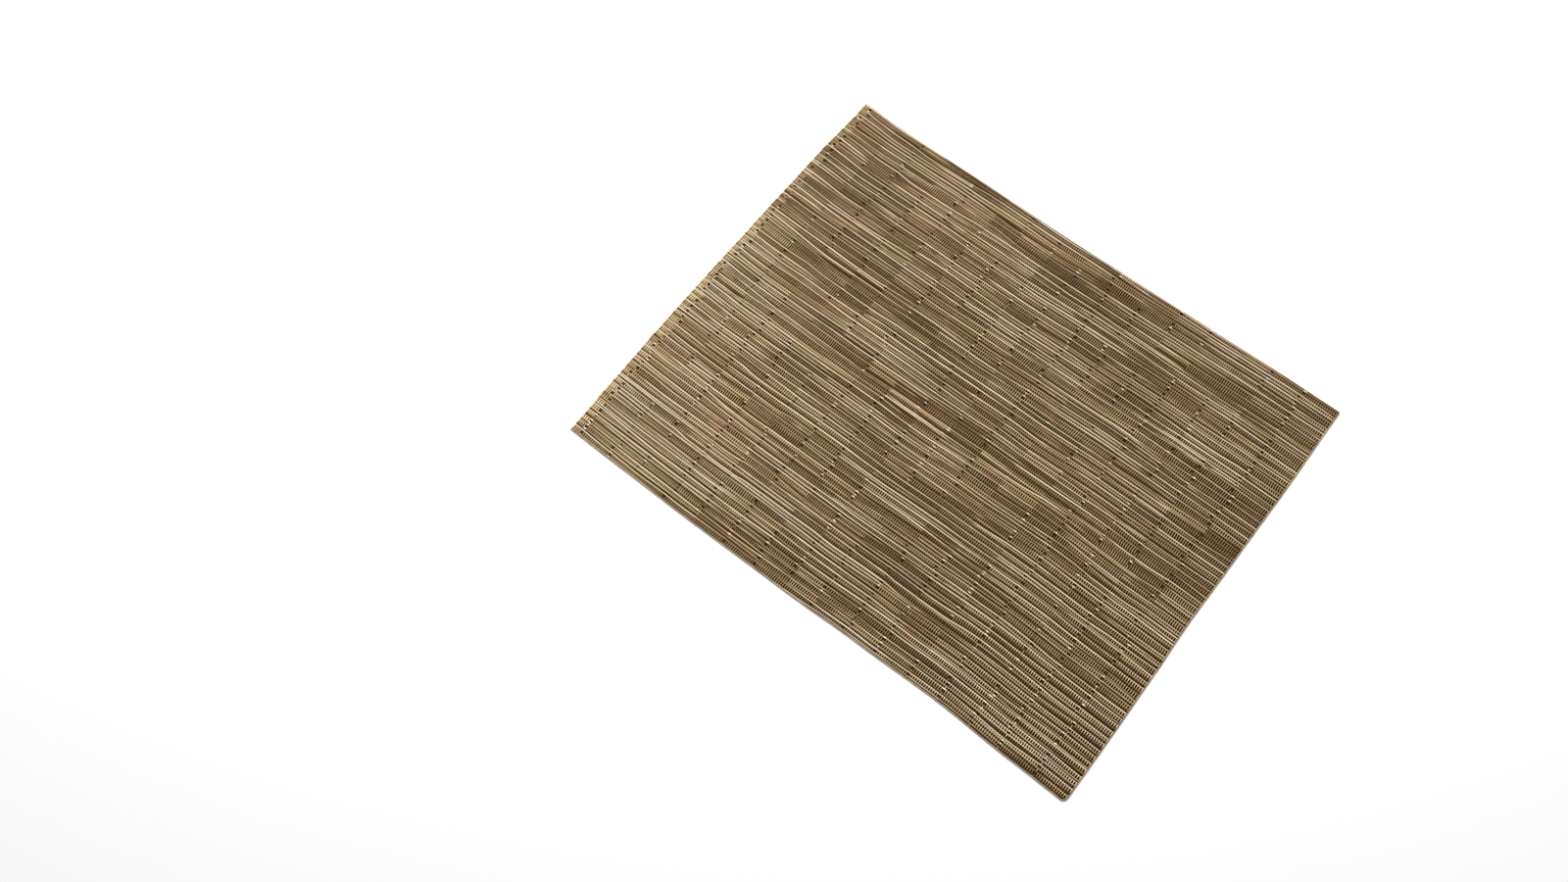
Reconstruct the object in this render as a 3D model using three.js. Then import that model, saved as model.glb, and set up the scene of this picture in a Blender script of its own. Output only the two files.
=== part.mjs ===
// A woven table mat: one flat panel cut from the roll, with the ribs of its weave raised on the face.
// Millimetres, +Z up. X runs along the ribs and Y across them. The origin is under the middle of the mat.
import * as THREE from 'three';

// Driving dimensions
const MAT_LENGTH = 440; // along the ribs
const MAT_WIDTH = 360; // across the ribs
const RIB_COUNT = 66; // one rib for each pair of yarn rows, 5.45 mm apart
const CREST_HEIGHT = 1.7; // the mat's thickness at a rib
const GROOVE_HEIGHT = 0.9; // and between two ribs
const CREST_UNEVENNESS = 0.1; // how much the ribs differ in height
const RIB_WANDER = 0.45; // how far a rib strays from a straight line
const CORNER_RADIUS = 4; // the near right corner has been rubbed round
const STEPS_ALONG = 12; // sections along each rib
const REST_FACE = { length: 300, width: 240 }; // the middle of the underside

// Where the height changes across one rib, as a share of the rib's width.
const RIB_PROFILE = [
  { across: 0.0, height: GROOVE_HEIGHT },
  { across: 0.3, height: CREST_HEIGHT },
  { across: 0.72, height: CREST_HEIGHT - 0.15 },
];

// How far the cut edges lie inside the 440 x 360 mm rectangle, because the mat was cut a little uneven.
// The far and near edges are given along X from the left end, the end edges along Y from the near side.
const LONG_EDGES = [
  { along: 0.0, far: 0.2, near: 0.8 },
  { along: 0.1, far: 2.2, near: 0.3 },
  { along: 0.25, far: 2.0, near: 0.0 },
  { along: 0.45, far: 2.6, near: 0.7 },
  { along: 0.6, far: 1.9, near: 2.4 },
  { along: 0.75, far: 0.9, near: 3.6 },
  { along: 0.9, far: 0.1, near: 1.6 },
  { along: 1.0, far: 0.3, near: 0.9 },
];
const END_EDGES = [
  { across: 0.0, left: 2.4, right: 0.2 },
  { across: 0.15, left: 1.1, right: 0.1 },
  { across: 0.3, left: 0.2, right: 0.5 },
  { across: 0.43, left: 0.0, right: 1.5 },
  { across: 0.6, left: 0.3, right: 0.7 },
  { across: 0.8, left: 0.9, right: 0.0 },
  { across: 1.0, left: 3.0, right: 0.4 },
];

// The slow waves by which ribs stray and differ in height, in radians over the mat's length and width.
const WANDER_WAVES = [
  { along: 9.4, across: 31, share: 0.6 },
  { along: 21, across: -57, share: 0.4 },
];
const CREST_WAVES = [
  { along: 7, across: 158, share: 0.5 },
  { along: 15, across: -112, share: 0.5 },
];

// The sum of some waves at a point, from -1 to 1.
function waveSum(waves, along, across) {
  return waves.reduce((sum, w) => sum + w.share * Math.sin(w.along * along + w.across * across), 0);
}

// A smooth value between the rows of a table, by the share at which each row is given.
function between(rows, place, share, name) {
  const last = rows.length - 2;
  const row = Math.min(last, Math.max(0, rows.findIndex((r) => r[place] > share) - 1));
  const index = share >= 1 ? last : row;
  const [from, to] = [rows[index], rows[index + 1]];
  const part = (share - from[place]) / (to[place] - from[place]);
  const eased = part * part * (3 - 2 * part);
  return THREE.MathUtils.lerp(from[name], to[name], eased);
}

// How far a rib strays across the mat: nothing at the long edges, most in the middle.
function wander(along, across) {
  return RIB_WANDER * waveSum(WANDER_WAVES, along, across) * Math.sin(Math.PI * across);
}

// How much the rounded corner takes off the end of a rib that lies this far from the near edge.
function cornerCut(fromEdge) {
  const inside = Math.max(0, CORNER_RADIUS - fromEdge);
  return CORNER_RADIUS - Math.sqrt(CORNER_RADIUS ** 2 - inside ** 2);
}

// The point of the mat at these shares of its length and width.
function place(along, across) {
  const left = -MAT_LENGTH / 2 + between(END_EDGES, 'across', across, 'left');
  const right = MAT_LENGTH / 2 - between(END_EDGES, 'across', across, 'right');
  const near = -MAT_WIDTH / 2 + between(LONG_EDGES, 'along', along, 'near');
  const far = MAT_WIDTH / 2 - between(LONG_EDGES, 'along', along, 'far');
  const end = right - cornerCut(across * MAT_WIDTH);
  return {
    x: THREE.MathUtils.lerp(left, end, along),
    y: THREE.MathUtils.lerp(near, far, across) + wander(along, across),
  };
}

// The height of the face where a rib is this far across its own width.
function faceHeight(rib, profileRow, along) {
  if (profileRow === 0) return GROOVE_HEIGHT;
  const unevenness = CREST_UNEVENNESS * waveSum(CREST_WAVES, along, rib / RIB_COUNT);
  return RIB_PROFILE[profileRow].height + unevenness;
}

// The face as a grid of points: one line for each change of height, one column for each section.
function facePoints() {
  const lines = [];
  for (let rib = 0; rib < RIB_COUNT; rib += 1) {
    RIB_PROFILE.forEach((row, profileRow) => {
      lines.push({ across: (rib + row.across) / RIB_COUNT, rib, profileRow });
    });
  }
  lines.push({ across: 1, rib: RIB_COUNT, profileRow: 0 });
  return lines.map((line) => {
    const points = [];
    for (let step = 0; step <= STEPS_ALONG; step += 1) {
      const along = step / STEPS_ALONG;
      const { x, y } = place(along, line.across);
      points.push(new THREE.Vector3(x, y, faceHeight(line.rib, line.profileRow, along)));
    }
    return points;
  });
}

// The rim of the grid, anticlockwise from above, starting at the near left corner.
function rimOf(grid) {
  const [near, far] = [grid[0], grid[grid.length - 1]];
  const inner = grid.slice(1, -1);
  return [
    ...near,
    ...inner.map((line) => line[STEPS_ALONG]),
    ...far.slice().reverse(),
    ...inner.map((line) => line[0]).reverse(),
  ];
}

// One closed body: the ribbed face, the cut edge all round, and the flat underside.
function matGeometry() {
  const corners = [];
  const triangle = (a, b, c) => [a, b, c].forEach((p) => corners.push(p.x, p.y, p.z));
  const grid = facePoints();
  for (let line = 0; line + 1 < grid.length; line += 1) {
    for (let step = 0; step < STEPS_ALONG; step += 1) {
      const [a, b] = [grid[line][step], grid[line][step + 1]];
      const [c, d] = [grid[line + 1][step + 1], grid[line + 1][step]];
      triangle(a, b, c);
      triangle(a, c, d);
    }
  }
  const rim = rimOf(grid);
  const foot = rim.map((p) => new THREE.Vector3(p.x, p.y, 0));
  rim.forEach((p, i) => {
    const next = (i + 1) % rim.length;
    triangle(foot[i], foot[next], rim[next]);
    triangle(foot[i], rim[next], p);
  });
  const [halfX, halfY] = [REST_FACE.length / 2, REST_FACE.width / 2];
  const rest = [[-halfX, -halfY], [-halfX, halfY], [halfX, halfY], [halfX, -halfY]];
  const hole = rest.map(([x, y]) => new THREE.Vector3(x, y, 0));
  const ring = [...foot, ...hole];
  const flat = (points) => points.map((p) => new THREE.Vector2(p.x, p.y));
  THREE.ShapeUtils.triangulateShape(flat(foot), [flat(hole)]).forEach(([a, b, c]) => {
    triangle(ring[c], ring[b], ring[a]);
  });
  triangle(hole[0], hole[1], hole[2]);
  triangle(hole[0], hole[2], hole[3]);
  const geometry = new THREE.BufferGeometry();
  geometry.setAttribute('position', new THREE.Float32BufferAttribute(corners, 3));
  geometry.computeVertexNormals();
  geometry.computeBoundingBox();
  const middle = geometry.boundingBox.getCenter(new THREE.Vector3());
  return geometry.translate(-middle.x, -middle.y, 0);
}

const wovenYarn = new THREE.MeshStandardMaterial({ color: 0x88714f, roughness: 0.55, metalness: 0 });
const mat = new THREE.Mesh(matGeometry(), wovenYarn);
mat.name = 'mat';

const placemat = new THREE.Group();
placemat.add(mat);
export default placemat;
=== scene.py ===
import math
import bpy
import numpy as np
from mathutils import Matrix, Vector


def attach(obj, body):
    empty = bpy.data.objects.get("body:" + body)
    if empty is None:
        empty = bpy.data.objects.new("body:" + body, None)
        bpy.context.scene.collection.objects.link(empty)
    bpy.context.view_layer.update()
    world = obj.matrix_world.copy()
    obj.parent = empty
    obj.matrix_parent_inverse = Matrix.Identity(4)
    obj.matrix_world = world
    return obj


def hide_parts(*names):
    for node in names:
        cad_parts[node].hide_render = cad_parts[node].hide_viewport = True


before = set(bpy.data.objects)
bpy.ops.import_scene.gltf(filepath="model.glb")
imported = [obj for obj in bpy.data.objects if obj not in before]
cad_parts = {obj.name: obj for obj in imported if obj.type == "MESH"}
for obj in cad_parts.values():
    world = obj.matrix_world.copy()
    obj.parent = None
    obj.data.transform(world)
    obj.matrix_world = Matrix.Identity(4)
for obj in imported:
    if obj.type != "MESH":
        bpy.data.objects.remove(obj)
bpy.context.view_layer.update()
print("frame loaded")

mm = 0.001

# ---- camera, at the photograph's viewing angle
cameraView = {
    "place": (0.1728, -0.4153, 1.0349),
    "looksAt": (-0.0885, -0.0899, 0.0),
    "roll": -0.634,  # degrees
    "lens": 35.0,
    "sensor": 36.0,
}


def addCamera():
    place = Vector(cameraView["place"])
    back = (place - Vector(cameraView["looksAt"])).normalized()
    level = Vector((0, 0, 1)).cross(back).normalized()
    upright = back.cross(level)
    roll = math.radians(cameraView["roll"])
    right = level * math.cos(roll) + upright * math.sin(roll)
    up = upright * math.cos(roll) - level * math.sin(roll)
    data = bpy.data.cameras.new("camera")
    data.lens = cameraView["lens"]
    data.sensor_width = cameraView["sensor"]
    data.clip_start = 0.01
    data.clip_end = 50
    camera = bpy.data.objects.new("camera", data)
    camera.matrix_world = Matrix.Translation(place) @ Matrix((right, up, back)).transposed().to_4x4()
    bpy.context.scene.collection.objects.link(camera)
    bpy.context.scene.camera = camera


addCamera()
print("camera placed")

# ---- the cut outline, in millimetres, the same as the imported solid's
matShape = {
    "length": 440.0,  # along the ribs
    "width": 360.0,  # across the ribs
    "ribs": 66,
    "ticks": 237,  # cross yarns along the length
    "ribWander": 0.45,
    "cornerRadius": 4.0,  # the near right corner
}
longEdges = np.array([  # along, far inset, near inset
    [0.0, 0.2, 0.8], [0.1, 2.2, 0.3], [0.25, 2.0, 0.0], [0.45, 2.6, 0.7],
    [0.6, 1.9, 2.4], [0.75, 0.9, 3.6], [0.9, 0.1, 1.6], [1.0, 0.3, 0.9],
])
endEdges = np.array([  # across, left inset, right inset
    [0.0, 2.4, 0.2], [0.15, 1.1, 0.1], [0.3, 0.2, 0.5], [0.43, 0.0, 1.5],
    [0.6, 0.3, 0.7], [0.8, 0.9, 0.0], [1.0, 3.0, 0.4],
])
ribCount = matShape["ribs"]
tickCount = matShape["ticks"]
tickPitch = matShape["length"] / tickCount


def ease(share):
    share = np.clip(share, 0, 1)
    return share * share * (3 - 2 * share)


def between(rows, share, column):  # a smooth value between the rows of a table
    share = np.clip(share, 0, 1)
    row = np.clip(np.searchsorted(rows[:, 0], share, side="right") - 1, 0, len(rows) - 2)
    part = ease((share - rows[row, 0]) / (rows[row + 1, 0] - rows[row, 0]))
    return rows[row, column] * (1 - part) + rows[row + 1, column] * part


def pointOn(along, across):  # the point of the mat at these shares of its length and width
    along, across = np.broadcast_arrays(np.asarray(along, float), np.asarray(across, float))
    length, width, radius = matShape["length"], matShape["width"], matShape["cornerRadius"]
    left = -length / 2 + between(endEdges, across, 1)
    right = length / 2 - between(endEdges, across, 2)
    near = -width / 2 + between(longEdges, along, 2)
    far = width / 2 - between(longEdges, along, 1)
    inside = np.clip(radius - across * width, 0, radius)
    cut = (radius - np.sqrt(radius**2 - inside**2)) * ease((along - 0.97) / 0.03)
    waves = 0.6 * np.sin(9.4 * along + 31 * across) + 0.4 * np.sin(21 * along - 57 * across)
    stray = matShape["ribWander"] * waves * np.sin(np.pi * np.clip(across, 0, 1))
    return left + (right - left) * along - cut, near + (far - near) * across + stray


def outlineMiddle():
    share = np.linspace(0, 1, 400)
    sides = [pointOn(share, 0.0), pointOn(share, 1.0), pointOn(0.0, share), pointOn(1.0, share)]
    x = np.concatenate([side[0] for side in sides])
    y = np.concatenate([side[1] for side in sides])
    return (x.min() + x.max()) / 2, (y.min() + y.max()) / 2


middleX, middleY = outlineMiddle()


def onMat(along, across):
    x, y = pointOn(along, across)
    return x - middleX, y - middleY


# ---- the chart of the weave: what each cross yarn and each long yarn does
chartSet = {
    "seed": 41,
    "jointStart": 6.2,  # mm from the left end to the first column of joints
    "jointSpacings": (28.0, 24.5, 29.0, 26.0, 28.5, 25.5),  # mm from column to column, in turn
    "jointMargin": 8.0,  # mm at the right end with no column
    "jointLean": -3.0,  # mm over the mat's width
    "jointRun": 5.0,  # ribs in a run of joints
    "firstFrom": -0.9,  # noise above which the first column has its joints
    "otherFrom": -0.36,  # and the other columns
    "openOdds": (0.5, 0.84),  # how many of the joints are open, in a pale and in a dark column
    "markOdds": 0.9,  # how many are open or have a plain strip
    "jointStray": 0.7,  # how many ticks a joint may stand aside
    "drawnIn": 0.75,  # width of the yarns beside a hole, as a share
    "reach": (-0.55, -0.30),  # noise between which cross yarns begin to run on to the last pale line
    "cover": (-0.10, 0.14),  # and between which they begin to lie over the tan line
    "stepped": 0.05,  # noise above which a group of them ends at the joints
    "paleLine": 0.80,  # where the two lines lie across a rib, as shares of its width
    "tanLine": 0.26,
    "lineStray": 0.15,  # how far they stray
    "wedge": 0.28,  # how far the pale line closes up to the tan one
    "apart": 0.25,  # the least share between a tan line and a pale one
    "tone": 0.76,  # of a cross yarn
    "width": 0.96,  # mm
    "plainWidth": 1.62,  # mm in the plain stretch at the left end
}


def drift(u, v, seed):  # smooth seeded noise from -1 to 1
    table = np.random.default_rng(chartSet["seed"] * 1000 + seed).uniform(-1, 1, (128, 128))
    u, v = np.broadcast_arrays(np.asarray(u, float), np.asarray(v, float))
    i, j = np.floor(u).astype(int), np.floor(v).astype(int)
    across, up = ease(u - i), ease(v - j)
    i, j, nextI, nextJ = i % 128, j % 128, (i + 1) % 128, (j + 1) % 128
    low = table[i, j] * (1 - across) + table[nextI, j] * across
    high = table[i, nextJ] * (1 - across) + table[nextI, nextJ] * across
    return low * (1 - up) + high * up


def jointColumns():  # the tick at which each column of joints stands, for every rib
    places = [chartSet["jointStart"]]
    spacing = 0
    while True:
        step = chartSet["jointSpacings"][spacing % len(chartSet["jointSpacings"])]
        if places[-1] + step > matShape["length"] - chartSet["jointMargin"]:
            break
        places.append(places[-1] + step)
        spacing += 1
    rib = np.arange(ribCount)[:, None]
    lean = chartSet["jointLean"] * (rib / ribCount - 0.5)
    return np.round((np.array(places)[None, :] + lean) / tickPitch).astype(int)


joints = jointColumns()


def panelOf(rib, along):  # which stretch between two columns of joints
    tick = np.floor(along * tickCount)
    ribIndex = np.clip(rib, 0, ribCount - 1).astype(int)
    return (tick[..., None] > joints[ribIndex]).sum(-1)


def lensField(rib, along, low, high, seed):  # long groups of ribs, from 0 outside to 1 inside
    rib, along = np.broadcast_arrays(np.asarray(rib, float), np.asarray(along, float))
    x = along * matShape["length"]
    panel = panelOf(rib, along)
    gradual = drift(x / 52, rib / 1.3, seed)
    stepped = 0.75 * drift(panel * 0.93 + 0.31, rib * 0.94, seed + 1)
    isStepped = drift(panel * 0.71 + 0.2, rib / 3 + 0.5, seed + 2) > chartSet["stepped"]
    value = np.where(isStepped, stepped, gradual)
    return ease((value - low) / (high - low))


def reachOf(rib, along):  # 0 where a cross yarn stops at its groove, 1 where it runs on past it
    return lensField(rib, along, *chartSet["reach"], 50)


def nearRight(rib, along):  # 1 toward the near right corner
    return ease((along - 0.58) / 0.28) * (1 - ease((rib - 6) / 24))


def coverOf(rib, along):  # 1 where the cross yarns also lie over the tan line
    cover = lensField(rib, along, *chartSet["cover"], 60) * (1 - 0.85 * nearRight(rib, along))
    return reachOf(rib, along) * cover


broadSet = {
    "base": -0.01,
    "patches": 0.045,
    "left": 0.14,  # how much lighter the near left corner is
    "leftReach": 0.55,  # and how far along that shows
}


def broadTone(rib, along):  # slow light and dark patches, lighter to the near left
    x = along * matShape["length"]
    patches = 0.6 * drift(x / 95, rib / 11, 4) + 0.4 * drift(x / 45, rib / 5, 5)
    left = (1 - ease(along / broadSet["leftReach"])) * (1 - 0.85 * ease((rib / ribCount - 0.4) / 0.45))
    return broadSet["patches"] * patches + broadSet["left"] * left + broadSet["base"]


def paintedSheen(rib, along):  # where the cross yarns are painted white, a painted sheen strongest toward the near right corner
    x = along * matShape["length"]
    lens = 0.7 * ease((drift(x / 42, rib / 1.3, 6) - 0.6) / 0.25)
    corner = nearRight(rib, along) * (0.75 + 0.6 * drift(x / 60, rib / 1.1, 7))
    return np.clip(corner + 0.8 * lens, 0, 1)


def tanStray(rib, along):  # where the tan line would lie if no pale line came near
    x = along * matShape["length"]
    stray = chartSet["lineStray"] * (0.8 * drift(x / 62, rib, 10) + 0.3 * drift(x / 23, rib, 19))
    closing = ease((drift(x / 100, rib * 0.8 + 3, 11) - 0.5) / 0.35)
    return chartSet["tanLine"] + stray - 0.5 * chartSet["wedge"] * closing


def paleShare(rib, along):  # where the pale line lies across its rib
    x = along * matShape["length"]
    stray = chartSet["lineStray"] * (0.8 * drift(x / 68, rib, 8) + 0.3 * drift(x / 21, rib, 18))
    closing = ease((drift(x / 95, rib * 0.9, 9) - 0.45) / 0.35)
    share = chartSet["paleLine"] + stray - chartSet["wedge"] * closing
    return np.maximum(share, tanStray(rib, along) + chartSet["apart"])


def tanShare(rib, along):
    return np.maximum(tanStray(rib, along), paleShare(rib - 1, along) - 1 + chartSet["apart"])


def drawChart():  # one row for each rib, one column for each cross yarn
    rib = np.arange(ribCount)[:, None]
    tick = np.arange(tickCount)[None, :]
    along = (tick + 0.5) / tickCount
    x = along * matShape["length"]
    chance = np.random.default_rng(chartSet["seed"])
    reach, tall = reachOf(rib, along), coverOf(rib, along)
    panel = panelOf(*np.broadcast_arrays(rib, along))
    sheen = paintedSheen(rib, along)
    dense = ease((drift(x / 55, rib / 2.4, 12) - 0.3) / 0.25)
    endZone = 1 - ease((tick - joints[:, :1]) / 1.5)  # the plain stretch at the left end
    own = drift(panel, rib, 13)
    tone = chartSet["tone"] + broadTone(rib, along) - 0.05 * tall + 0.07 * own
    tone = tone + 0.08 * drift(x / 60, rib / 0.9, 14) + 0.03 * chance.uniform(-1, 1, tall.shape)
    # a little painted sheen; denser cross yarns a little darker
    tone = tone + 0.04 * sheen - 0.03 * dense
    width = chartSet["width"] - 0.22 * tall - 0.12 * sheen + 0.06 * dense
    width = width + 0.06 * chance.uniform(-1, 1, tall.shape)
    width = width * (1 - endZone) + chartSet["plainWidth"] * endZone
    slant = (0.19 + 1.1 * tall) * drift(x / 36, rib / 1.6, 15)
    bow = 1.0 * tall * drift(x / 40, rib / 1.9, 16)
    kind = np.zeros(tall.shape, int)  # 0 a cross yarn, 1 left out at a joint, 2 a plain strip there
    for column in range(joints.shape[1]):
        isDark = column % 3 == 0 or column % 4 == 2
        least = chartSet["firstFrom"] if column == 0 else chartSet["otherFrom"]
        here = drift(rib[:, 0] / chartSet["jointRun"], column * 1.7, 17) > least
        scatter = chance.uniform(0, 1, ribCount)
        dark = here & (scatter < chartSet["openOdds"][isDark])
        strip = here & ~dark & (scatter < chartSet["markOdds"])
        stray = chance.uniform(-chartSet["jointStray"], chartSet["jointStray"], ribCount)
        beside = joints[:, column] + np.round(stray).astype(int)
        kind[rib[:, 0][dark], beside[dark]] = 1
        kind[rib[:, 0][strip], beside[strip]] = 2
        for step in (-1, 1):  # the yarns beside a hole are drawn in
            width[rib[:, 0][dark], beside[dark] + step] *= chartSet["drawnIn"]
    return {
        "along": along, "reach": reach, "tall": tall, "sheen": sheen, "kind": kind,
        "tone": tone, "width": width, "slant": slant, "bow": bow,
    }


chart = drawChart()
openJoints, plainJoints = int((chart["kind"] == 1).sum()), int((chart["kind"] == 2).sum())
print("weave charted:", openJoints, "open joints,", plainJoints, "plain ones")

# ---- materials
yarnColours = [  # from the painted shade of the gaps to the palest yarn
    (0.0, (0.010, 0.005, 0.002)), (0.25, (0.110, 0.057, 0.020)), (0.5, (0.340, 0.205, 0.092)),
    (0.78, (0.755, 0.54, 0.303)), (1.0, (1.0, 0.90, 0.69)),
]


def newSocket(group, name, kind, way, value=None):
    socket = group.interface.new_socket(name, in_out=way, socket_type=kind)
    if value is not None:
        socket.default_value = value
    return socket


def yarnGroup():  # colour, roughness and relief of a coated yarn, from its tone
    group = bpy.data.node_groups.new("coatedYarn", "ShaderNodeTree")
    newSocket(group, "Tone", "NodeSocketFloat", "INPUT", 0.5)
    newSocket(group, "Grain Scale", "NodeSocketVector", "INPUT", (300, 3000, 3000))
    newSocket(group, "Grain Amount", "NodeSocketFloat", "INPUT", 0.08)
    newSocket(group, "Gloss", "NodeSocketFloat", "INPUT", 0.5)
    newSocket(group, "Color", "NodeSocketColor", "OUTPUT")
    newSocket(group, "Roughness", "NodeSocketFloat", "OUTPUT")
    newSocket(group, "Height", "NodeSocketFloat", "OUTPUT")
    nodes, links = group.nodes, group.links
    inside = nodes.new("NodeGroupInput")
    outside = nodes.new("NodeGroupOutput")
    place = nodes.new("ShaderNodeTexCoord")
    stretch = nodes.new("ShaderNodeVectorMath")
    stretch.operation = "MULTIPLY"
    grain = nodes.new("ShaderNodeTexNoise")
    grain.inputs["Scale"].default_value = 1.0
    grain.inputs["Detail"].default_value = 2.0
    cloud = nodes.new("ShaderNodeTexNoise")
    cloud.inputs["Scale"].default_value = 38.0
    cloud.inputs["Detail"].default_value = 2.0
    links.new(place.outputs["Object"], stretch.inputs[0])
    links.new(inside.outputs["Grain Scale"], stretch.inputs[1])
    links.new(stretch.outputs["Vector"], grain.inputs["Vector"])
    links.new(place.outputs["Object"], cloud.inputs["Vector"])
    centred = nodes.new("ShaderNodeMath")
    centred.operation = "SUBTRACT"
    centred.inputs[1].default_value = 0.5
    links.new(grain.outputs["Fac"], centred.inputs[0])
    shaded = nodes.new("ShaderNodeMath")
    shaded.operation = "MULTIPLY_ADD"
    links.new(centred.outputs["Value"], shaded.inputs[0])
    links.new(inside.outputs["Grain Amount"], shaded.inputs[1])
    links.new(inside.outputs["Tone"], shaded.inputs[2])
    ramp = nodes.new("ShaderNodeValToRGB")
    ramp.color_ramp.interpolation = "LINEAR"
    stops = ramp.color_ramp.elements
    while len(stops) < len(yarnColours):
        stops.new(0.5)
    for stop, (tone, colour) in zip(stops, yarnColours):
        stop.position = tone
        stop.color = (*colour, 1)
    links.new(shaded.outputs["Value"], ramp.inputs["Fac"])
    olive = nodes.new("ShaderNodeMixRGB")
    olive.blend_type = "MULTIPLY"
    olive.inputs["Color2"].default_value = (0.94, 1.0, 0.88, 1)
    weight = nodes.new("ShaderNodeMapRange")
    weight.inputs["From Min"].default_value = 0.5
    weight.inputs["From Max"].default_value = 0.68
    links.new(cloud.outputs["Fac"], weight.inputs["Value"])
    links.new(weight.outputs["Result"], olive.inputs["Fac"])
    links.new(ramp.outputs["Color"], olive.inputs["Color1"])
    links.new(olive.outputs["Color"], outside.inputs["Color"])
    rough = nodes.new("ShaderNodeMapRange")
    rough.inputs["To Min"].default_value = 0.12
    rough.inputs["To Max"].default_value = -0.12
    links.new(grain.outputs["Fac"], rough.inputs["Value"])
    roughSum = nodes.new("ShaderNodeMath")
    roughSum.operation = "ADD"
    links.new(rough.outputs["Result"], roughSum.inputs[0])
    links.new(inside.outputs["Gloss"], roughSum.inputs[1])
    links.new(roughSum.outputs["Value"], outside.inputs["Roughness"])
    links.new(grain.outputs["Fac"], outside.inputs["Height"])
    return group


coatedYarn = yarnGroup()


def tickShaded(nodes, links, toneOut, amount):  # painted shade: the tone lighter at each cross yarn and darker between
    tick = nodes.new("ShaderNodeAttribute")
    tick.attribute_name = "tick"
    turn = nodes.new("ShaderNodeMath")
    turn.operation = "MULTIPLY"
    turn.inputs[1].default_value = 2 * math.pi
    wave = nodes.new("ShaderNodeMath")
    wave.operation = "COSINE"
    shaded = nodes.new("ShaderNodeMath")
    shaded.operation = "MULTIPLY_ADD"
    shaded.inputs[1].default_value = -amount
    links.new(tick.outputs["Fac"], turn.inputs[0])
    links.new(turn.outputs["Value"], wave.inputs[0])
    links.new(wave.outputs["Value"], shaded.inputs[0])
    links.new(toneOut, shaded.inputs[2])
    return shaded.outputs["Value"]


def yarnMaterial(name, look):
    material = bpy.data.materials.new(name)
    material.use_nodes = True
    nodes, links = material.node_tree.nodes, material.node_tree.links
    shader = nodes["Principled BSDF"]
    shader.inputs["Specular IOR Level"].default_value = look["shine"]
    tone = nodes.new("ShaderNodeAttribute")
    tone.attribute_name = "tone"
    toneOut = tone.outputs["Fac"]
    if "tickShade" in look:
        toneOut = tickShaded(nodes, links, toneOut, look["tickShade"])
    yarn = nodes.new("ShaderNodeGroup")
    yarn.node_tree = coatedYarn
    yarn.inputs["Grain Scale"].default_value = look["grainScale"]
    yarn.inputs["Grain Amount"].default_value = look["grainAmount"]
    yarn.inputs["Gloss"].default_value = look["roughness"]
    bump = nodes.new("ShaderNodeBump")
    bump.inputs["Strength"].default_value = look["relief"]
    bump.inputs["Distance"].default_value = 0.0001
    links.new(toneOut, yarn.inputs["Tone"])
    links.new(yarn.outputs["Color"], shader.inputs["Base Color"])
    links.new(yarn.outputs["Roughness"], shader.inputs["Roughness"])
    links.new(yarn.outputs["Height"], bump.inputs["Height"])
    links.new(bump.outputs["Normal"], shader.inputs["Normal"])
    return material


longGrain = (260, 2600, 2600)  # streaks along X, per metre
crossGrain = (2600, 420, 2600)
groundLook = {
    "shine": 0.0, "grainScale": (900, 900, 900), "grainAmount": 0.10, "roughness": 0.62, "relief": 0.5,
    "tickShade": 0.22,
}
paleLook = {
    "shine": 0.25, "grainScale": longGrain, "grainAmount": 0.16, "roughness": 0.44, "relief": 0.5,
}
tanLook = {
    "shine": 0.2, "grainScale": longGrain, "grainAmount": 0.16, "roughness": 0.46, "relief": 0.5,
}
crossLook = {
    "shine": 0.2, "grainScale": crossGrain, "grainAmount": 0.14, "roughness": 0.45, "relief": 0.5,
}
edgeLook = {
    "shine": 0.5, "grainScale": (700, 700, 700), "grainAmount": 0.14, "roughness": 0.38, "relief": 0.4,
}
groundYarn = yarnMaterial("groundYarn", groundLook)
paleYarn = yarnMaterial("paleYarn", paleLook)
tanYarn = yarnMaterial("tanYarn", tanLook)
crossYarn = yarnMaterial("crossYarn", crossLook)
meltedEdge = yarnMaterial("meltedEdge", edgeLook)
print("materials made")


# ---- mesh helpers
def makePiece(name, points, faces, tone, uv, material):
    # points in mm; faces all with as many corners, or a list of such arrays; uv for each corner
    mesh = bpy.data.meshes.new(name)
    groups = faces if isinstance(faces, list) else [faces]
    uvs = uv if isinstance(uv, list) else [uv]
    sizes = np.concatenate([np.full(len(group), group.shape[1]) for group in groups])
    corners = np.concatenate([group.reshape(-1) for group in groups]).astype(np.int32)
    starts = np.concatenate([[0], np.cumsum(sizes)[:-1]]).astype(np.int32)
    mesh.vertices.add(len(points))
    mesh.vertices.foreach_set("co", (points * mm).astype(np.float32).reshape(-1))
    mesh.loops.add(len(corners))
    mesh.loops.foreach_set("vertex_index", corners)
    mesh.polygons.add(len(sizes))
    mesh.polygons.foreach_set("loop_start", starts)
    layer = mesh.uv_layers.new(name="OFBake")
    layer.data.foreach_set("uv", np.concatenate([part.reshape(-1) for part in uvs]).astype(np.float32))
    mesh.update(calc_edges=True)
    mesh.polygons.foreach_set("use_smooth", np.ones(len(sizes), bool))
    values = mesh.attributes.new("tone", "FLOAT", "POINT")
    values.data.foreach_set("value", np.broadcast_to(tone, len(points)).astype(np.float32))
    mesh.validate()
    mesh.materials.append(material)
    piece = bpy.data.objects.new(name, mesh)
    bpy.context.scene.collection.objects.link(piece)
    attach(piece, "root")
    return piece


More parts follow.
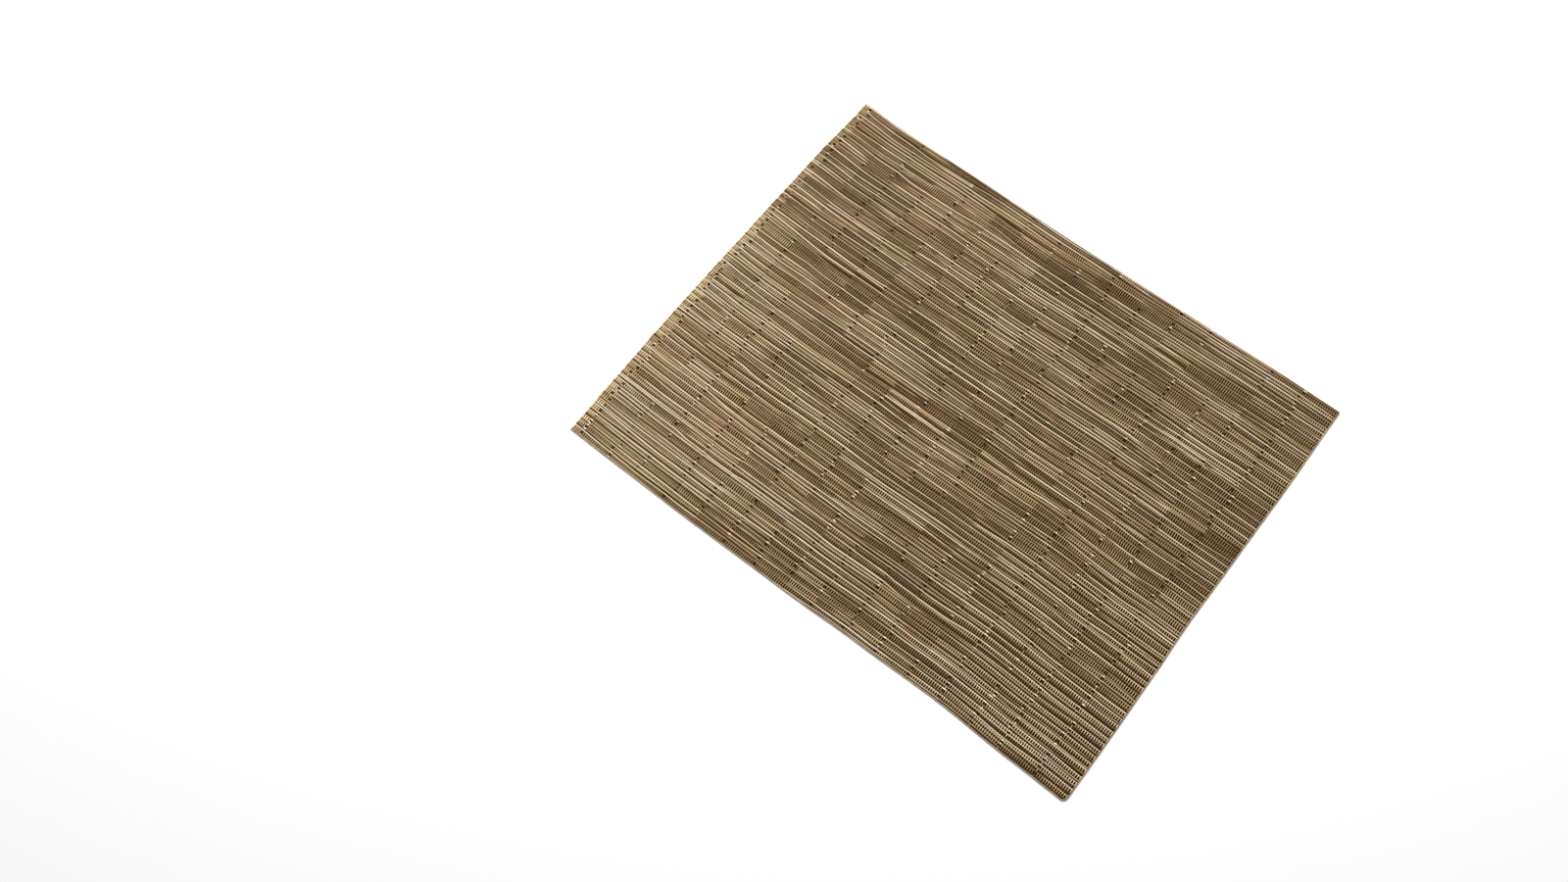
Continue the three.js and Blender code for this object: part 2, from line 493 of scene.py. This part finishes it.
def tubeFaces(rows, steps, sides):  # closed tubes, points ordered row, step, side
    row = np.arange(rows)[:, None, None] * steps * sides
    step = np.arange(steps - 1)[None, :, None] * sides
    side = np.arange(sides)[None, None, :]
    nextSide = (side + 1) % sides
    first = row + step
    ahead = first + sides
    walls = np.stack([first + side, ahead + side, ahead + nextSide, first + nextSide], -1)
    startCap = np.arange(rows)[:, None] * steps * sides + np.arange(sides)[None, :]
    endCap = startCap[:, ::-1] + (steps - 1) * sides
    return walls.reshape(-1, 4), np.concatenate([startCap, endCap])


def tubeMap(rows, steps, sides):  # each tube in its own band of the map, each side in its own strip
    band = 0.92 / rows
    bottom = (np.arange(rows) + 0.04) / rows
    strips = np.linspace(0, 1, sides + 1)
    u0 = 0.004 + 0.98 * np.arange(steps - 1) / (steps - 1)
    u1 = 0.004 + 0.98 * np.arange(1, steps) / (steps - 1)
    low = bottom[:, None, None] + band * strips[None, None, :-1]
    high = bottom[:, None, None] + band * strips[None, None, 1:]
    u0, u1, low, high = np.broadcast_arrays(u0[None, :, None], u1[None, :, None], low, high)
    walls = np.stack([np.stack([u0, low], -1), np.stack([u1, low], -1),
                      np.stack([u1, high], -1), np.stack([u0, high], -1)], -2)
    turn = 2 * np.pi * np.arange(sides) / sides
    caps = []
    for end in (0.988, 0.995):
        u = end + 0.0025 * np.cos(turn)[None, :] + 0 * bottom[:, None]
        v = bottom[:, None] + band * (0.5 + 0.35 * np.sin(turn)[None, :])
        caps.append(np.stack([u, v], -1))
    return walls, np.concatenate(caps)


# ---- ground cloth: the closed base under the yarns, with painted shade between them
groundSet = {
    "lines": (  # share across a rib, height in mm, tone
        # the ground's brown, with painted shade near black at the groove bottom and at the middle of the
        # rib
        (0.03, 0.50, 0.02),
        (0.16, 0.98, 0.26),
        (0.50, 0.80, 0.00),
        (0.91, 0.98, 0.22),
    ),
    "steps": 79,
    "underside": 0.16,  # how far the underside rises between two ribs
    "rim": 0.75,  # height of the cut edge
}


def groundShares():  # where the lines of the ground cloth lie across the mat
    inside = [(rib + line[0]) / ribCount for rib in range(ribCount) for line in groundSet["lines"]]
    return np.array([0.0] + inside + [1.0])


def groundCloth():
    steps = groundSet["steps"]
    along = np.linspace(0, 1, steps + 1)[None, :]
    shares = groundShares()
    heights, tones, under, ribs = [groundSet["rim"]], [0.3], [0.0], [0]
    for rib in range(ribCount):
        for share, height, tone in groundSet["lines"]:
            heights.append(height)
            tones.append(tone)
            under.append(groundSet["underside"] if height < 0.8 else 0.02)
            ribs.append(rib)
    heights.append(groundSet["rim"])
    tones.append(0.3)
    under.append(0.0)
    ribs.append(ribCount - 1)
    across = shares[:, None]
    rib = np.array(ribs)[:, None]
    x, y = onMat(along, across)
    lines = len(shares)
    tall = coverOf(rib, along + 0 * across)
    top = np.array(heights)[:, None] - 0.05 * tall
    tone = np.array(tones)[:, None] + 0.5 * broadTone(rib, along) + 0 * x
    # painted shade where the cross yarns lie over the ground
    tone = tone * (1 - 0.5 * tall)
    low = np.array(under)[:, None] + 0 * x
    topPoints = np.stack([x, y, top + 0 * x], -1).reshape(-1, 3)
    lowPoints = np.stack([x, y, low], -1).reshape(-1, 3)
    count = len(topPoints)
    index = np.arange(count).reshape(lines, steps + 1)
    a, b, c, d = index[:-1, :-1], index[:-1, 1:], index[1:, 1:], index[1:, :-1]
    topFaces = np.stack([a, b, c, d], -1).reshape(-1, 4)
    lowFaces = topFaces[:, ::-1] + count
    rim = np.concatenate([index[0, :-1], index[:-1, -1], index[-1, :0:-1], index[:0:-1, 0]])
    nextRim = np.roll(rim, -1)
    walls = np.stack([rim + count, nextRim + count, nextRim, rim], -1)
    u = (along + 0 * across) * 0.98 + 0.01
    v = across + 0 * along
    topPlace = np.stack([u, 0.01 + 0.47 * v], -1).reshape(-1, 2)
    lowPlace = np.stack([u, 0.50 + 0.47 * v], -1).reshape(-1, 2)
    rimU = 0.01 + 0.98 * np.arange(len(rim)) / len(rim)
    nextU = 0.01 + 0.98 * np.arange(1, len(rim) + 1) / len(rim)
    lowV, highV = rimU * 0 + 0.978, rimU * 0 + 0.996
    wallMap = np.stack([np.stack([rimU, lowV], -1), np.stack([nextU, lowV], -1),
                        np.stack([nextU, highV], -1), np.stack([rimU, highV], -1)], -2)
    uv = [topPlace[topFaces], lowPlace[topFaces[:, ::-1]], wallMap]
    underTone = 0.42 + 0.6 * broadTone(rib, along) + 0 * x
    # painted shade in the underside's hollows between the ribs
    underTone = np.where(low > 0.1, 0.2, underTone)
    allTone = np.concatenate([tone.reshape(-1), underTone.reshape(-1)])
    piece = makePiece("groundCloth", np.concatenate([topPoints, lowPoints]),
                      [topFaces, lowFaces, walls], allTone, uv, groundYarn)
    tick = np.tile((along * tickCount + 0 * across).reshape(-1), 2)
    values = piece.data.attributes.new("tick", "FLOAT", "POINT")
    values.data.foreach_set("value", tick.astype(np.float32))
    return piece


ground = groundCloth()
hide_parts("mat")
print("ground cloth woven")

# ---- long yarns: the pale line and the tan line of every rib
lineSet = {  # the same for both
    "ragged": 0.0009,  # how far a yarn may end short, as a share of the length
    # painted shade on the flanks of each long yarn
    "flankShade": 0.08,
    "brightest": 1.15,  # tone of a line with no teeth
    "panelTone": 0.07,  # how far the tone changes from panel to panel
    "slowTone": 0.30,  # and slowly along the line
}
paleSet = {
    "halfWidth": 0.39,
    "foot": 1.30,
    "top": 1.70,
    "bead": 0.07,
    "overFloats": 0.0,
    "underFloats": 0.0,
    "teeth": 0.42,  # how far the line breaks up at each cross yarn where the painted sheen shows, in width and in painted highlight dashes
    "tone": 1.01,
    "fading": 0.34,  # how far the line sinks in colour over some stretches
    "noise": 21,
}
tanSet = {
    "halfWidth": 0.32,
    "foot": 1.18,
    "top": 1.58,
    "bead": 0.05,
    "overFloats": 0.16,
    "underFloats": -0.42,
    "teeth": 0.0,
    "tone": 0.80,
    "fading": 0.22,
    "noise": 22,
}


def sectionTube(x, y, halfWidth, foot, top):  # three points round a yarn that runs along X
    near = np.stack([x, y - halfWidth, foot], -1)
    crest = np.stack([x, y, top], -1)
    far = np.stack([x, y + halfWidth, foot], -1)
    return np.stack([near, crest, far], -2)


def longYarns(name, share, look, stepsEachTick, ribs, material, toneOf):
    steps = tickCount * stepsEachTick + 1
    rib = ribs[:, None]
    along = np.linspace(0, 1, steps)[None, :] + 0.0 * rib
    chance = np.random.default_rng(chartSet["seed"] + len(name))
    ragged = chance.uniform(0, lineSet["ragged"], (len(ribs), 2))
    along = along * (1 - ragged.sum(1)[:, None]) + ragged[:, :1]
    x, y = onMat(along, (rib + share(rib, along)) / ribCount)
    reach, tall = reachOf(rib, along), coverOf(rib, along)
    crossing = np.cos(2 * np.pi * (along * tickCount - 0.5))
    slow = drift(along * 7, rib, look["noise"])
    teeth = look["teeth"] * paintedSheen(rib, along)
    halfWidth = look["halfWidth"] * (1 + 0.30 * slow - 0.22 * tall + 0.8 * teeth)
    halfWidth = halfWidth * (1 + (0.05 + 0.6 * teeth) * crossing)
    lift = look["overFloats"] * reach * (1 - tall) + look["underFloats"] * tall
    top = look["top"] + look["bead"] * crossing + lift
    foot = look["foot"] + lift
    points = sectionTube(x, y, halfWidth, foot + 0 * x, top + 0 * x)
    # painted light: lighter on each bead and darker between, with painted highlight dashes where the
    # painted sheen shows
    tone = np.minimum(toneOf(rib, along, tall), lineSet["brightest"] - teeth)
    tone = np.repeat((tone + (0.02 + teeth) * crossing)[..., None], 3, -1)
    # painted shade on the flanks
    tone[..., 0] -= lineSet["flankShade"]
    tone[..., 2] -= lineSet["flankShade"]
    walls, caps = tubeFaces(len(ribs), steps, 3)
    wallMap, capMap = tubeMap(len(ribs), steps, 3)
    points = points.reshape(-1, 3)
    return makePiece(name, points, [walls, caps], tone.reshape(-1), [wallMap, capMap], material)


def paleTone(rib, along, tall):
    x = along * matShape["length"]
    panel = panelOf(*np.broadcast_arrays(rib, along))
    own = drift(panel, rib, 30)
    slow = drift(x / 75, rib, 31)
    faded = 1 - ease((drift(x / 50, rib, 35) + 0.6) / 0.35)
    tone = paleSet["tone"] + lineSet["panelTone"] * own + lineSet["slowTone"] * slow - 0.06 * tall
    tone = tone - paleSet["fading"] * faded
    # with a painted sheen toward the near right corner
    return tone + 0.8 * broadTone(rib, along) + 0.16 * paintedSheen(rib, along)


def tanTone(rib, along, tall):
    x = along * matShape["length"]
    panel = panelOf(*np.broadcast_arrays(rib, along))
    own = drift(panel, rib, 32)
    slow = drift(x / 80, rib, 33)
    faded = 1 - ease((drift(x / 50, rib, 36) + 0.6) / 0.35)
    # painted shade where the tan line sinks under the cross yarns
    tone = tanSet["tone"] + lineSet["panelTone"] * own + lineSet["slowTone"] * slow - 0.2 * tall
    tone = tone - tanSet["fading"] * faded
    return tone + 0.8 * broadTone(rib, along)


half = ribCount // 2
nearRibs, farRibs = np.arange(half), np.arange(half, ribCount)
longYarns("paleYarnsNear", paleShare, paleSet, 2, nearRibs, paleYarn, paleTone)
longYarns("paleYarnsFar", paleShare, paleSet, 2, farRibs, paleYarn, paleTone)
longYarns("tanYarns", tanShare, tanSet, 1, np.arange(ribCount), tanYarn, tanTone)
print("long yarns laid")

# ---- cross yarns: one short float in each cell, modelled once and laid in every cell
floatSet = {
    "foot": 0.80,
    "shortTops": (0.98, 1.18, 1.48, 1.26, 0.98),  # heights along a float that stops at its groove
    "longTops": (1.26, 1.36, 1.46, 1.28, 0.98),  # along one that runs on under the tan line
    "tallTops": (1.26, 1.56, 1.66, 1.38, 0.98),  # along one that runs on over the tan line
    "start": 0.07,  # where a short one begins across its rib
    "past": 0.13,  # how far it runs on past the pale line
    "joined": 0.05,  # where a long one begins, past the last pale line
    "edgeStart": 0.04,  # and where it begins on the nearest rib, as does one with a hole before it
    "openReach": (0.14, 0.32),  # how far it comes where a joint leaves a hole
    "endWidth": 0.92,  # share of its full width at its ends
    "plainTop": 1.30,  # the plain strip at a joint
    "plainWidth": 2.05,
    "plainTone": 0.46,
    # painted shade: darker at a float's foot and at its tucked ends
    "footShade": 0.34,
    "endShade": 0.22,
    "grooveShade": 0.2,  # painted shade on the part that runs on under the tan line
    # painted highlight and painted shade on the two halves of a float where the painted sheen shows
    "litHighlight": 0.5,
    "unlitShade": 0.20,
    "bands": 6,
}


def deselectAll():
    if bpy.context.object and bpy.context.object.mode != "OBJECT":
        bpy.ops.object.mode_set(mode="OBJECT")
    bpy.ops.object.select_all(action="DESELECT")


def masterFloat():  # unit float along Y: x from -0.5 to 0.5, y from 0 to 1, z from 0 to 1
    deselectAll()
    bpy.ops.mesh.primitive_cylinder_add(vertices=3, radius=1, depth=1, location=(0, 0, 0))
    piece = bpy.context.object
    bpy.ops.object.mode_set(mode="EDIT")
    bpy.ops.mesh.select_all(action="SELECT")
    bpy.ops.transform.rotate(value=math.pi / 2, orient_axis="X", center_override=(0, 0, 0))
    for cut in (-0.3, 0.0, 0.3):
        bpy.ops.mesh.select_all(action="SELECT")
        bpy.ops.mesh.bisect(plane_co=(0, cut, 0), plane_no=(0, 1, 0))
    bpy.ops.object.mode_set(mode="OBJECT")
    mesh = piece.data
    count = len(mesh.vertices)
    points = np.empty(count * 3)
    mesh.vertices.foreach_get("co", points)
    points = points.reshape(-1, 3)
    points[:, 1] += 0.5
    low, high = points.min(0), points.max(0)
    points[:, 0] = (points[:, 0] - (low[0] + high[0]) / 2) / (high[0] - low[0])
    points[:, 2] = (points[:, 2] - low[2]) / (high[2] - low[2])
    if abs(points[points[:, 2] > 0.5][0, 0]) > 0.1:
        points[:, 2] = 1 - points[:, 2]
    faces = [list(face.vertices) for face in mesh.polygons]
    bpy.data.objects.remove(piece)
    bpy.data.meshes.remove(mesh)
    return points, faces


masterPoints, masterFaces = masterFloat()


def crossYarns(name, ribs):  # the cross yarns of these ribs
    levels = np.unique(np.round(masterPoints[:, 1], 4))
    rib = ribs[:, None]
    along = np.broadcast_to(chart["along"], (len(ribs), tickCount))
    reach, tall = chart["reach"][ribs], chart["tall"][ribs]
    lastPale = paleShare(rib - 1, along) - 1 + floatSet["joined"]
    lastPale = np.where(rib > 0, lastPale, floatSet["edgeStart"])
    start = floatSet["start"] * (1 - reach) + lastPale * reach
    end = np.maximum(paleShare(rib, along) + floatSet["past"], start + 0.2)
    chance = np.random.default_rng(chartSet["seed"] + ribs[0])
    opened = chance.uniform(*floatSet["openReach"], reach.shape)
    opened = np.maximum(start, floatSet["edgeStart"]) + opened
    end = np.where(chart["kind"][ribs] == 1, opened, end)
    share = start[..., None] + (end - start)[..., None] * levels
    x, y = onMat(along[..., None], (rib[..., None] + share) / ribCount)
    side, run, height = masterPoints.T
    level = np.searchsorted(levels, np.round(run, 4))
    isPlain = (chart["kind"][ribs] == 2)[..., None]
    arch = np.sin(np.pi * run) ** 0.7
    shortTop, longTop, tallTop = (
        np.array(floatSet[key])[level] for key in ("shortTops", "longTops", "tallTops"))
    under, over = (reach - tall)[..., None], tall[..., None]
    top = shortTop + (longTop - shortTop) * under + (tallTop - shortTop) * over
    top = np.where(isPlain, np.minimum(top, floatSet["plainTop"]), top)
    z = floatSet["foot"] + height * (top - floatSet["foot"])
    width = np.where(isPlain, floatSet["plainWidth"], chart["width"][ribs][..., None])
    taper = floatSet["endWidth"] + (1 - floatSet["endWidth"]) * np.sin(np.pi * run)
    slant = np.where(isPlain, 0, chart["slant"][ribs][..., None]) * (run - 0.5)
    bow = np.where(isPlain, 0, chart["bow"][ribs][..., None]) * (4 * run * (1 - run) - 0.5)
    points = np.stack([x[..., level] + side * width * taper + slant + bow, y[..., level], z], -1)
    tone = np.where(isPlain, floatSet["plainTone"], chart["tone"][ribs][..., None])
    # painted shade at the foot, at the tucked ends and under the tan line
    tone = tone - floatSet["footShade"] * (1 - height) - floatSet["endShade"] * (1 - arch)
    tone = tone - floatSet["grooveShade"] * under * (run < 0.4)
    sheen = chart["sheen"][ribs][..., None]
    lit = ease((run - 0.5) / 0.3)  # painted highlight beside the pale line, painted shade away from it, where the painted sheen shows
    paler = lit * (floatSet["litHighlight"] + floatSet["endShade"] * (1 - arch))
    tone = tone + sheen * (paler - floatSet["unlitShade"] * (1 - lit))
    points = points.reshape(-1, len(masterPoints), 3)
    tone = tone.reshape(-1, len(masterPoints))
    return stamped(name, points, tone, masterFaces, floatMap, crossYarn)


def floatMap(face):  # where the corners of one face of the master lie in its own cell of the map
    places = masterPoints[face]
    if len(face) == 3:
        corner = 0.05 if places[0, 1] < 0.5 else 0.55
        return [(corner, 0.90), (corner + 0.3, 0.90), (corner + 0.15, 0.97)]
    v = 0.04 + 0.80 * places[:, 1]
    if places[:, 2].max() < 0.5:
        u = 0.90 + 0.14 * places[:, 0]
    elif places[:, 0].min() < -0.1:
        u = 0.02 + 0.72 * (places[:, 0] + 0.5)
    else:
        u = 0.42 + 0.72 * places[:, 0]
    return list(zip(u, v))


def stamped(name, points, tone, faces, placeOf, material):  # copies of a master, joined
    count, size = points.shape[:2]
    across = math.ceil(math.sqrt(count))
    cell = np.arange(count)
    cellPlace = np.stack([cell % across, cell // across], -1) / across
    groups, uvs = [], []
    for corners in sorted({len(face) for face in faces}):
        alike = [face for face in faces if len(face) == corners]
        inCell = np.array([placeOf(face) for face in alike])
        groups.append((cell[:, None, None] * size + np.array(alike)[None]).reshape(-1, corners))
        uvs.append((cellPlace[:, None, None, :] + inCell[None] / across).reshape(-1, corners, 2))
    return makePiece(name, points.reshape(-1, 3), groups, tone.reshape(-1), uvs, material)


for band, ribs in enumerate(np.array_split(np.arange(ribCount), floatSet["bands"])):
    crossYarns(f"crossYarns{band + 1}", ribs)
print("cross yarns laid")

# ---- slubs: the bright knots on the lines where a joint shows
slubSet = {
    "length": 2.4,
    "halfWidth": 0.50,
    "foot": 1.25,
    "top": 1.78,
    "tone": 0.98,
    "onPale": 0.55,  # how many of the joints have one on the pale line
    "onTan": 0.25,  # and on the tan line
}


def masterSlub():  # unit slub along X: x from -0.5 to 0.5, y from -1 to 1, z from 0 to 1
    deselectAll()
    bpy.ops.mesh.primitive_cylinder_add(vertices=6, radius=1, depth=1, location=(0, 0, 0))
    piece = bpy.context.object
    bpy.ops.object.mode_set(mode="EDIT")
    bpy.ops.mesh.select_all(action="SELECT")
    bpy.ops.transform.rotate(value=math.pi / 2, orient_axis="Y", center_override=(0, 0, 0))
    for cut in (-0.28, 0.28):
        bpy.ops.mesh.select_all(action="SELECT")
        bpy.ops.mesh.bisect(plane_co=(cut, 0, 0), plane_no=(1, 0, 0))
    bpy.ops.object.mode_set(mode="OBJECT")
    mesh = piece.data
    points = np.empty(len(mesh.vertices) * 3)
    mesh.vertices.foreach_get("co", points)
    points = points.reshape(-1, 3)
    atEnd = np.abs(points[:, 0]) > 0.4
    points[atEnd, 1:] *= 0.55
    points[:, 1] /= np.abs(points[:, 1]).max()
    points[:, 2] = (points[:, 2] / np.abs(points[:, 2]).max() + 1) / 2
    faces = [list(face.vertices) for face in mesh.polygons]
    bpy.data.objects.remove(piece)
    bpy.data.meshes.remove(mesh)
    return points, faces


slubPoints, slubFaces = masterSlub()


def slubMap(face):
    places = slubPoints[face]
    if len(face) == 6:
        turn = 2 * np.pi * np.arange(6) / 6
        middle = 0.2 if places[0, 0] < 0 else 0.7
        return list(zip(middle + 0.14 * np.cos(turn), 0.84 + 0.12 * np.sin(turn)))
    centre = places[:, 1:].mean(0) - np.array([0, 0.5])
    side = round((math.atan2(centre[1] * 2, centre[0]) + math.pi) / (math.pi / 3) - 0.5) % 6
    u = 0.04 + 0.92 * (places[:, 0] + 0.5)
    isLeft = places[:, 0] < places[:, 0].mean()
    order = np.zeros(4)
    for flag in (True, False):
        pair = np.where(isLeft == flag)[0]
        angle = np.arctan2((places[pair, 2] - 0.5) * 2, places[pair, 1])
        spread = angle - angle[0]
        spread = (spread + np.pi) % (2 * np.pi) - np.pi
        order[pair[np.argmax(spread)]] = 1
    return list(zip(u, 0.02 + (side + 0.08 + 0.84 * order) * 0.11))


def jointSlubs():
    chance = np.random.default_rng(chartSet["seed"] + 5)
    rib, tick = np.nonzero(chart["kind"])
    along = (tick + 0.5) / tickCount
    sets = []
    for share, odds in ((paleShare, slubSet["onPale"]), (tanShare, slubSet["onTan"])):
        pick = chance.uniform(0, 1, len(rib)) < odds
        if share is tanShare:
            pick &= chart["tall"][rib, tick] < 0.2
        places = np.stack([rib[pick], along[pick]])
        x, y = onMat(places[1], (places[0] + share(places[0], places[1])) / ribCount)
        sets.append(np.stack([x, y], -1))
    middle = np.concatenate(sets)
    count = len(middle)
    size = chance.uniform(0.75, 1.1, (count, 1))
    side, run, height = slubPoints[:, 1], slubPoints[:, 0], slubPoints[:, 2]
    x = middle[:, :1] + run * slubSet["length"] * size
    y = middle[:, 1:] + side * slubSet["halfWidth"] * size
    z = slubSet["foot"] + height * (slubSet["top"] - slubSet["foot"]) + 0 * x
    # painted shade at the slub's foot
    tone = slubSet["tone"] + 0.06 * chance.uniform(-1, 1, (count, 1)) - 0.25 * (1 - height)
    return stamped("jointSlubs", np.stack([x, y, z], -1), tone, slubFaces, slubMap, paleYarn)


jointSlubs()
print("joint slubs laid")

# ---- sealed edge: the thin melted bead where the panel was cut
edgeSet = {
    "outside": 0.05,  # mm past the cut
    "section": (  # outwards, height
        (-0.25, 0.40), (0.0, 0.75), (-0.36, 1.38), (-0.80, 1.05), (-0.80, 0.40),
    ),
    "size": (0.60, 0.36, 0.40, 0.62),  # near, right, far and left edge
    "tone": (0.70, 0.72, 0.50, 0.86),
    "unevenness": 0.12,
    "cornerSteps": 15,  # over how many steps the bead changes at a corner
}


def smoothed(values):  # a value for each step round the edge, blended at the corners
    steps = edgeSet["cornerSteps"]
    reach = steps // 2
    closed = np.concatenate([values[-reach:], values, values[:reach]])
    return np.convolve(closed, np.ones(steps) / steps, "valid")


def sealedEdge():
    longRun, endRun = np.linspace(0, 1, 2 * tickCount + 1), groundShares()
    runs = [
        (longRun[:-1], 0 * longRun[:-1], 0), (1 + 0 * endRun[:-1], endRun[:-1], 1),
        (longRun[:0:-1], 1 + 0 * longRun[:0:-1], 2), (0 * endRun[:0:-1], endRun[:0:-1], 3),
    ]
    u = np.concatenate([run[0] for run in runs])
    v = np.concatenate([run[1] for run in runs])
    sideOf = np.concatenate([np.full(len(run[0]), run[2]) for run in runs])
    x, y = onMat(u, v)
    path = np.stack([x, y], -1)
    ahead = np.roll(path, -1, 0) - np.roll(path, 1, 0)
    ahead /= np.linalg.norm(ahead, axis=1)[:, None]
    outward = np.stack([ahead[:, 1], -ahead[:, 0]], -1)
    step = np.arange(len(path))
    size = smoothed(np.array(edgeSet["size"])[sideOf])
    uneven = size * (1 + edgeSet["unevenness"] * drift(step / 3.1, 0.0, 40))
    section = np.array(edgeSet["section"])
    offset = edgeSet["outside"] + section[None, :, 0] * uneven[:, None]
    flat = path[:, None, :] + outward[:, None, :] * offset[..., None]
    height = section[None, :, 1] * (1 + 0.06 * drift(step / 2.3, 3.0, 41))[:, None]
    points = np.concatenate([flat, height[..., None]], -1)
    sides, count = len(section), len(path)
    first, nextStep = step[:, None] * sides, ((step + 1) % count)[:, None] * sides
    side = np.arange(sides)[None, :]
    nextSide = (side + 1) % sides
    walls = np.stack([first + side, nextStep + side, nextStep + nextSide, first + nextSide], -1)
    walls = walls.reshape(-1, 4)
    u0, u1 = 0.004 + 0.99 * step / count, 0.004 + 0.99 * (step + 1) / count
    low, high = (np.arange(sides) + 0.05) / sides, (np.arange(sides) + 0.95) / sides
    u0, u1, low, high = np.broadcast_arrays(u0[:, None], u1[:, None], low[None], high[None])
    place = np.stack([np.stack([u0, low], -1), np.stack([u1, low], -1),
                      np.stack([u1, high], -1), np.stack([u0, high], -1)], -2)
    tone = smoothed(np.array(edgeSet["tone"])[sideOf]) + 0.12 * drift(step / 5.0, 0.0, 42)
    tone = np.repeat(tone[:, None], sides, 1)
    return makePiece("sealedEdge", points.reshape(-1, 3), walls, tone.reshape(-1), place, meltedEdge)


sealedEdge()
print("edge sealed")

# ---- floor and light
stageSet = {
    "floorSize": 12.0,
    "floorColour": (0.86, 0.86, 0.86),
    "floorDrop": 0.00005,  # how far the floor lies under the mat
    "lampPlace": (-0.9, 1.0, 1.7),
    "lampSize": 1.0,
    "lampPower": 66.0,
    "skyStrength": 0.36,
}


def addFloor():
    deselectAll()
    bpy.ops.mesh.primitive_plane_add(size=stageSet["floorSize"], location=(0, 0, 0))
    floor = bpy.context.object
    floor.name = "floor"
    bpy.ops.object.mode_set(mode="EDIT")
    bpy.ops.mesh.select_all(action="SELECT")
    bpy.ops.mesh.subdivide(number_cuts=3)
    bpy.ops.transform.translate(value=(0, 0, -stageSet["floorDrop"]))
    bpy.ops.object.mode_set(mode="OBJECT")
    material = bpy.data.materials.new("paleFloor")
    material.use_nodes = True
    nodes, links = material.node_tree.nodes, material.node_tree.links
    shader = nodes["Principled BSDF"]
    shader.inputs["Specular IOR Level"].default_value = 0.1
    place = nodes.new("ShaderNodeTexCoord")
    cloud = nodes.new("ShaderNodeTexNoise")
    cloud.inputs["Scale"].default_value = 3.0
    tint = nodes.new("ShaderNodeValToRGB")
    tint.color_ramp.elements[0].color = (*[c * 0.99 for c in stageSet["floorColour"]], 1)
    tint.color_ramp.elements[1].color = (*stageSet["floorColour"], 1)
    shader.inputs["Roughness"].default_value = 0.8
    links.new(place.outputs["Object"], cloud.inputs["Vector"])
    links.new(cloud.outputs["Fac"], tint.inputs["Fac"])
    links.new(tint.outputs["Color"], shader.inputs["Base Color"])
    floor.data.materials.append(material)


def addLight():
    lamp = bpy.data.lights.new("softbox", "AREA")
    lamp.shape = "SQUARE"
    lamp.size = stageSet["lampSize"]
    lamp.energy = stageSet["lampPower"]
    box = bpy.data.objects.new("softbox", lamp)
    place = Vector(stageSet["lampPlace"])
    box.location = place
    box.rotation_euler = (-place).to_track_quat("-Z", "Y").to_euler()
    bpy.context.scene.collection.objects.link(box)
    world = bpy.data.worlds.new("paleRoom")
    world.use_nodes = True
    sky = world.node_tree.nodes["Background"]
    sky.inputs["Color"].default_value = (1, 1, 1, 1)
    sky.inputs["Strength"].default_value = stageSet["skyStrength"]
    bpy.context.scene.world = world
    bpy.context.scene.view_settings.view_transform = "Standard"


addFloor()
addLight()
print("floor and light set")
